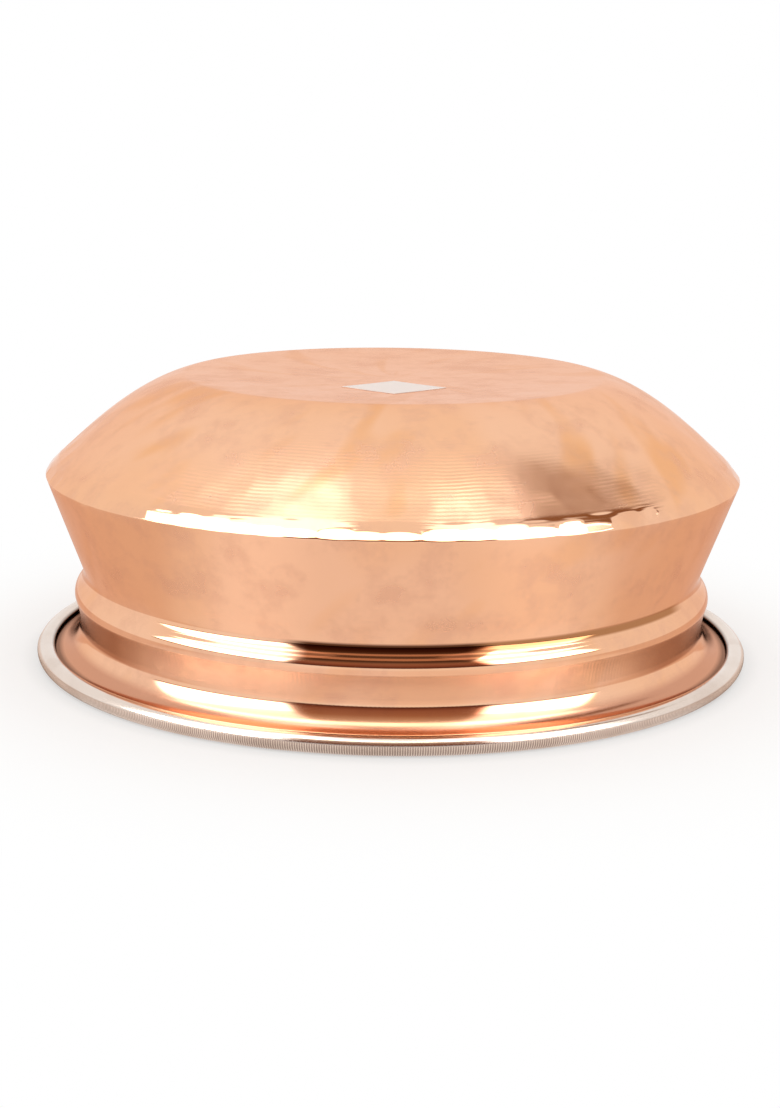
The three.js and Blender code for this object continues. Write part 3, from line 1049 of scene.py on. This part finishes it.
bright = add_node(tree, MARK, attribute_name="burnished").outputs["Fac"]
polish = add_node(tree, TIMES_PLUS, (bright, MIRROR_ROUGHNESS - SATIN_ROUGHNESS, SATIN_ROUGHNESS))
uneven = add_node(tree, SOFT_STEP, (stains, *UNEVEN_POLISH))
shader = add_node(tree, "ShaderNodeBsdfPrincipled", {
    "Base Color": tinted, "Metallic": 1.0, "Specular Tint": COPPER_EDGE, "Normal": bump,
    "Roughness": add_node(tree, TIMES, (polish, uneven)),
})
add_node(tree, "ShaderNodeOutputMaterial", (shader,))
print("copper finish nodes:", len(tree.nodes))

# %% [markdown]
# Now the hammer runs over the jacket. The blows on the cone are wide and shallow, and the
# facets of the shoulder look outwards and a little less upwards than the bevel over them.
# The modifier is applied at once, because the finished sheet is what gets fastened.

# %% Hammer the jacket
HAMMER_RUN = {
    "Seed": 7, "Blow spacing": 8.0 * MM, "Blow radius": 4.6 * MM, "Blow depth": 0.09 * MM,
    "Facets": 74, "Facet jitter": 0.035, "Facet tilt": math.radians(37.7),
    "Facet tilt spread": math.radians(2.0), "Facet cut": 0.33 * MM,
    "Round radius": SHOULDER_ROUND, "Round distance": float(shoulder_centre[0]),
    "Round height": float(shoulder_centre[1]), "Finish": copper,
}
run_tree(jacket, hammer, HAMMER_RUN)
print("hammered jacket:", triangle_count(jacket), "triangles of", jacket.data.materials[0].name)

# %% [markdown]
# The steel liner follows the copper on the inside, runs level under its edge and is rolled
# outwards and back over it. Its section is one closed line, so the shell is a closed ring
# of sheet.

# %% Section of the liner and its roll
BEND_STEPS = 4
ROLL_INSIDE_STEPS = 28
ROLL_OUTSIDE_STEPS = 26
ROLL_FOOT_STEPS = 5

outer_depth = COPPER_SHEET + CLEARANCE
inner_depth = outer_depth + STEEL_SHEET
middle_height = flange_height - outer_depth - STEEL_SHEET / 2
bend_height = middle_height - ROLL_BEND
bend_reach = ROLL_RADIUS - STEEL_SHEET / 2 + ROLL_BEND
drop = roll_centre[1] - bend_height
bend_centre = np.array((roll_centre[0] - math.sqrt(bend_reach ** 2 - drop ** 2), bend_height))
meet_angle = math.asin(drop / bend_reach)
roll_start = meet_angle + math.pi
roll_end = ROLL_END_ANGLE + FULL_TURN
rest_angle = math.asin(REST_HALF_WIDTH / ROLL_RADIUS)
foot_angle = 1.5 * math.pi
level_angle = math.pi / 2

liner_faces = [*plain_line, np.array((bend_centre[0], flange_height))]
towards_copper = set_back(liner_faces, outer_depth)
towards_food = set_back(liner_faces, inner_depth)[::-1]
roll_line = [
    *arc(bend_centre, ROLL_BEND + STEEL_SHEET / 2, level_angle, meet_angle, BEND_STEPS),
    *arc(roll_centre, hold_radius, roll_start, roll_end, ROLL_INSIDE_STEPS),
    *arc(roll_centre, ROLL_RADIUS, roll_end, foot_angle + rest_angle, ROLL_OUTSIDE_STEPS),
    *arc(roll_centre, ROLL_RADIUS, foot_angle - rest_angle, roll_start, ROLL_FOOT_STEPS),
    *arc(bend_centre, ROLL_BEND - STEEL_SHEET / 2, meet_angle, level_angle, BEND_STEPS),
]
liner_line = join([*towards_copper, *roll_line, *towards_food])
print("points round the liner's section:", len(liner_line))

# %% [markdown]
# Only the roll is seen, so its rings are finer than the hidden rest. Painted shade darkens
# the roll between the ribs of the rim's outer side and in the seam where the roll closes on
# the copper. It could be a texture, but it follows the roll, so each ring gets its share of
# painted shade by its angle.

# %% Steel liner with its rolled rim
LINER_STEPS = 512
LINER_HIDDEN_STEPS = 128
# Painted shade by angle round the roll: between the ribs and in the seam by the copper.
RIB_SEAM_SHADE_ANGLES = (-80, -62, 10, 14, 126, 146)
RIB_SEAM_SHADE_SHARES = (0.9, 0.6, 0.35, 0, 0, 1)

first_roll, last_roll = len(join(towards_copper)), len(liner_line) - len(join(towards_food))
on_roll = [first_roll <= n < last_roll for n in range(len(liner_line))]
liner_steps = [LINER_STEPS if rolled else LINER_HIDDEN_STEPS for rolled in on_roll]
liner_shade_painted = np.zeros(len(liner_line))
for number, rolled in enumerate(on_roll):
    from_centre = liner_line[number] - roll_centre
    angle = math.degrees(math.atan2(from_centre[1], from_centre[0]))
    outer_face = np.linalg.norm(from_centre) > ROLL_RADIUS - STEEL_SHEET / 2
    if rolled and outer_face:
        liner_shade_painted[number] = np.interp(angle, RIB_SEAM_SHADE_ANGLES, RIB_SEAM_SHADE_SHARES)
liner = turned_shell("rolled_steel_liner", liner_line, liner_steps, marks={"liner_shade_painted": liner_shade_painted})
print("liner triangles:", triangle_count(liner))

# %% [markdown]
# The outer side of the rolled rim is reeded: a knurling wheel has pressed about a thousand
# short ribs into it, square to the rim. A texture could fake them, but they break the
# outline, so each rib is real. One rib is an arc of the roll's section with a small
# four-cornered profile, and the tree repeats it round a circle.

# %% Tree of ribs
RIB_STEPS = 8
RIB_CORNERS = 4

reeding = new_tree("reeded rim", {
    "Ribs": "Int", "Ring radius": "Float", "Ring height": "Float", "Roll radius": "Float",
    "Rib width": "Float", "First angle": "Float", "Sweep": "Float", "Finish": "Material",
})
tree = reeding
given = add_node(tree, "NodeGroupInput").outputs
rib_line = add_node(tree, "GeometryNodeCurveArc", {
    "Resolution": RIB_STEPS, "Radius": given["Roll radius"], "Start Angle": given["First angle"],
    "Sweep Angle": given["Sweep"],
})
rib_profile = add_node(tree, "GeometryNodeCurvePrimitiveCircle", {
    "Resolution": RIB_CORNERS, "Radius": given["Rib width"],
})
rib = add_node(tree, "GeometryNodeCurveToMesh", {
    "Curve": rib_line, "Profile Curve": rib_profile, "Fill Caps": True,
})
upright = add_node(tree, "GeometryNodeTransform", {"Geometry": rib, "Rotation": (math.pi / 2, 0.0, 0.0)})
ring = add_node(tree, "GeometryNodeMeshCircle", (given["Ribs"], given["Ring radius"]))
lift = add_node(tree, COMBINE, {"Z": given["Ring height"]})
ring = add_node(tree, "GeometryNodeSetPosition", {"Geometry": ring, "Offset": lift})
spot = add_node(tree, "GeometryNodeInputPosition")
level_spot = add_node(tree, VECTOR_MATH, (spot, LEVEL_ONLY), operation="MULTIPLY")
turned = add_node(tree, "FunctionNodeAlignRotationToVector", {"Vector": level_spot},
                  axis="X", pivot_axis="Z")
ribs = add_node(tree, "GeometryNodeInstanceOnPoints", {
    "Points": ring, "Instance": upright, "Rotation": turned,
})
joined = add_node(tree, "GeometryNodeJoinGeometry", (ribs,))
tree.links.new(given["Geometry"], joined.inputs["Geometry"])
whole = add_node(tree, "GeometryNodeRealizeInstances", (joined,))
finished = add_node(tree, "GeometryNodeSetMaterial", {"Geometry": whole, "Material": given["Finish"]})
add_node(tree, "NodeGroupOutput", (finished,))
print("rib tree nodes:", len(tree.nodes))

# %% [markdown]
# Steel: stainless sheet, spun bright. It is a cooler and darker mirror than copper, but in
# this pot its base colour carries a painted warm reflection of the copper beside it. Fine
# turning lines run round it, drawn 0.3 mm wide because real ones are too fine to show, faint
# clouds dull it, and painted brown shade fills the valleys between the ribs, which makes them
# show. An anisotropic shader could give the lines' gleam, but as heights they also break
# up its edge.

# %% Steel finish
# Both steel tones carry a painted warm reflection of the copper.
STEEL = linear("#e6d6ca")
STEEL_DULL = linear("#d8c5b7")
RIB_SEAM_SHADE = linear("#5f4434")
TURNING_WIDTH = 0.3 * MM
TURNING_LENGTH = 20 * MM
TURNING_DEPTH = 0.0010 * MM
TURNING_DETAIL = 3.0
CLOUD_SIZE = 15 * MM
CLOUD_SHARE = (0.4, 0.75, 0.0, 0.7)
STEEL_ROUGHNESS = (0.3, 0.75, 0.14, 0.26)

steel = new_finish("spun stainless steel")
tree = steel.node_tree
place = add_node(tree, PLACE).outputs["Object"]
map_place = add_node(tree, "ShaderNodeUVMap", uv_map="turn_and_length")
length = add_node(tree, SEPARATE, (map_place,)).outputs["Y"]
turning = stretched_noise(tree, level_way(tree, place), length, TURNING_LENGTH, TURNING_WIDTH, TURNING_DETAIL)
line_height = add_node(tree, TIMES, (turning, TURNING_DEPTH))
cloud = add_node(tree, NOISE, {"Vector": place, "Scale": 1 / CLOUD_SIZE, "Detail": 4.0})
cloud_share = add_node(tree, SOFT_STEP, (cloud, *CLOUD_SHARE))
# Painted shade between the ribs and in the seam.
painted_shade_share = add_node(tree, MARK, attribute_name="liner_shade_painted").outputs["Fac"]
steel_tint = add_node(tree, COLOUR_MIX, (cloud_share, STEEL, STEEL_DULL))
shader = add_node(tree, "ShaderNodeBsdfPrincipled", {
    "Base Color": add_node(tree, COLOUR_MIX, (painted_shade_share, steel_tint, RIB_SEAM_SHADE)), "Metallic": 1.0,
    "Roughness": add_node(tree, SOFT_STEP, (cloud, *STEEL_ROUGHNESS)),
    "Normal": add_node(tree, "ShaderNodeBump", {"Height": line_height, "Strength": 1.0, "Distance": 1.0}),
})
add_node(tree, "ShaderNodeOutputMaterial", (shader,))
print("steel finish nodes:", len(tree.nodes))

# %% [markdown]
# The ribs start at the foot of the roll and end a little over its outermost line. They sink
# into the sheet by a hair, so that no gap shows under them. The top of the roll stays smooth.

# %% Reed the rim
RIB_PITCH = 0.605 * MM
RIB_WIDTH = 0.2 * MM
RIB_SINK = 0.02 * MM
RIB_START = math.radians(-62)
RIB_SWEEP = math.radians(74)

run_tree(liner, reeding, {
    "Ribs": round(FULL_TURN * RIM_RADIUS / RIB_PITCH), "Ring radius": float(roll_centre[0]),
    "Ring height": float(roll_centre[1]), "Roll radius": ROLL_RADIUS - RIB_SINK,
    "Rib width": RIB_WIDTH, "First angle": RIB_START, "Sweep": RIB_SWEEP, "Finish": steel,
})
print("liner with ribs:", triangle_count(liner), "triangles")

# %% [markdown]
# The wire in the rim is hidden, so the frame's own node stays and only gets the dull grey
# of drawn wire.

# %% Wire finish
DRAWN_WIRE = linear("#9a9a98")
DRAW_MARK_SIZE = 0.8 * MM
WIRE_ROUGHNESS = (0.3, 0.7, 0.3, 0.5)

wire_finish = new_finish("drawn steel wire")
tree = wire_finish.node_tree
place = add_node(tree, PLACE).outputs["Object"]
draw_marks = add_node(tree, NOISE, {"Vector": place, "Scale": 1 / DRAW_MARK_SIZE, "Detail": 3.0})
shader = add_node(tree, "ShaderNodeBsdfPrincipled", {
    "Base Color": DRAWN_WIRE, "Metallic": 1.0,
    "Roughness": add_node(tree, "ShaderNodeMapRange", (draw_marks, *WIRE_ROUGHNESS)),
})
add_node(tree, "ShaderNodeOutputMaterial", (shader,))
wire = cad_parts["rim_wire"]
wire.data.materials.clear()
wire.data.materials.append(wire_finish)
print("wire's finish:", wire.data.materials[0].name)

# %% [markdown]
# A small square label of pale foil is stuck on the base, one corner towards the front. It is
# bare. It could be a flat plane, but real foil follows the dish of the base, so it is a
# small grid laid on the dish, with a thin edge that catches the light.

# %% Bare label on the base
LABEL_SIDE = 20 * MM
LABEL_THICKNESS = 0.12 * MM
LABEL_LIFT = 0.02 * MM
LABEL_FORWARD = 20 * MM
LABEL_STEPS = 12
CORNER_TURN = math.sqrt(0.5)        # the sine and cosine of 45 degrees


def on_dish(x, y):
    """Height of the dished base under a place."""
    reach = math.hypot(x, y) / ring_inside
    return base_height - BASE_DISH * (1 - reach * reach)


label_places = []
for lift in (LABEL_THICKNESS, LABEL_LIFT):
    for row in range(LABEL_STEPS + 1):
        for column in range(LABEL_STEPS + 1):
            a = (column / LABEL_STEPS - 0.5) * LABEL_SIDE
            b = (row / LABEL_STEPS - 0.5) * LABEL_SIDE
            x = (a - b) * CORNER_TURN
            y = (a + b) * CORNER_TURN - LABEL_FORWARD
            label_places.append((x, y, on_dish(x, y) + lift))
side = LABEL_STEPS + 1
label_faces = []
for row in range(LABEL_STEPS):
    for column in range(LABEL_STEPS):
        at = row * side + column
        label_faces.append((at, at + 1, at + side + 1, at + side))
        low = at + side * side
        label_faces.append((low, low + side, low + side + 1, low + 1))
border = [*range(0, side - 1), *range(side - 1, side * side - 1, side),
          *range(side * side - 1, side * (side - 1), -1), *range(side * (side - 1), 0, -side)]
for at, after in zip(border, border[1:] + border[:1]):
    label_faces.append((at, at + side * side, after + side * side, after))
label_mesh = bpy.data.meshes.new("blank_label")
label_mesh.from_pydata(label_places, [], label_faces)
label = bpy.data.objects.new("blank_label", label_mesh)
bpy.context.scene.collection.objects.link(label)
print("label faces:", len(label_mesh.polygons))

# %% [markdown]
# Foil: a thin metal film on paper, printed pale and left blank. The eye gets a dull pale
# gleam. Its crinkles could be in the mesh, but at a hundredth of a millimetre a bump does.

# %% Foil finish
FOIL = linear("#e3d3c9")
FOIL_METALLIC = 0.6
FOIL_ROUGHNESS = 0.35
CRINKLE_SIZE = 4 * MM
CRINKLE_DEPTH = 0.01 * MM

foil = new_finish("pale foil label")
tree = foil.node_tree
place = add_node(tree, PLACE).outputs["Object"]
crinkle = add_node(tree, NOISE, {"Vector": place, "Scale": 1 / CRINKLE_SIZE, "Detail": 2.0})
crinkle = add_node(tree, TIMES, (crinkle, CRINKLE_DEPTH))
shader = add_node(tree, "ShaderNodeBsdfPrincipled", {
    "Base Color": FOIL, "Metallic": FOIL_METALLIC, "Roughness": FOIL_ROUGHNESS,
    "Normal": add_node(tree, "ShaderNodeBump", {"Height": crinkle, "Distance": 1.0}),
})
add_node(tree, "ShaderNodeOutputMaterial", (shader,))
label_mesh.materials.append(foil)
print("foil finish nodes:", len(tree.nodes))

# %% [markdown]
# A closed shell whose faces look outwards has a volume above zero, and the volume of a
# sheet should be about its area times its thickness. The signed volume of each shell is
# worked out from its mesh alone and printed.

# %% Signed volume of every shell
CUBIC_CM = 1e6


def volume(piece):
    """Signed volume inside a piece's faces, in cubic centimetres: above zero if they face out."""
    places = np.zeros(len(piece.data.vertices) * 3)
    piece.data.vertices.foreach_get("co", places)
    places = places.reshape(-1, 3)
    piece.data.calc_loop_triangles()
    corners = np.zeros(len(piece.data.loop_triangles) * 3, np.int64)
    piece.data.loop_triangles.foreach_get("vertices", corners)
    a, b, c = (places[corners.reshape(-1, 3)[:, n]] for n in range(3))
    return float((a * np.cross(b, c)).sum() / 6 * CUBIC_CM)


for piece in (jacket, liner, label):
    print(piece.name, "volume in cm3:", round(volume(piece), 2))

# %% [markdown]
# The whole pot is one stiff thing, so all its pieces ride on the root body. The jacket and
# the liner take the place of the frame's plainer solids.

# %% Fasten the pieces to the frame
for piece in (jacket, liner, label):
    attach(piece, "root")
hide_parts("copper_jacket")
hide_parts("steel_liner")
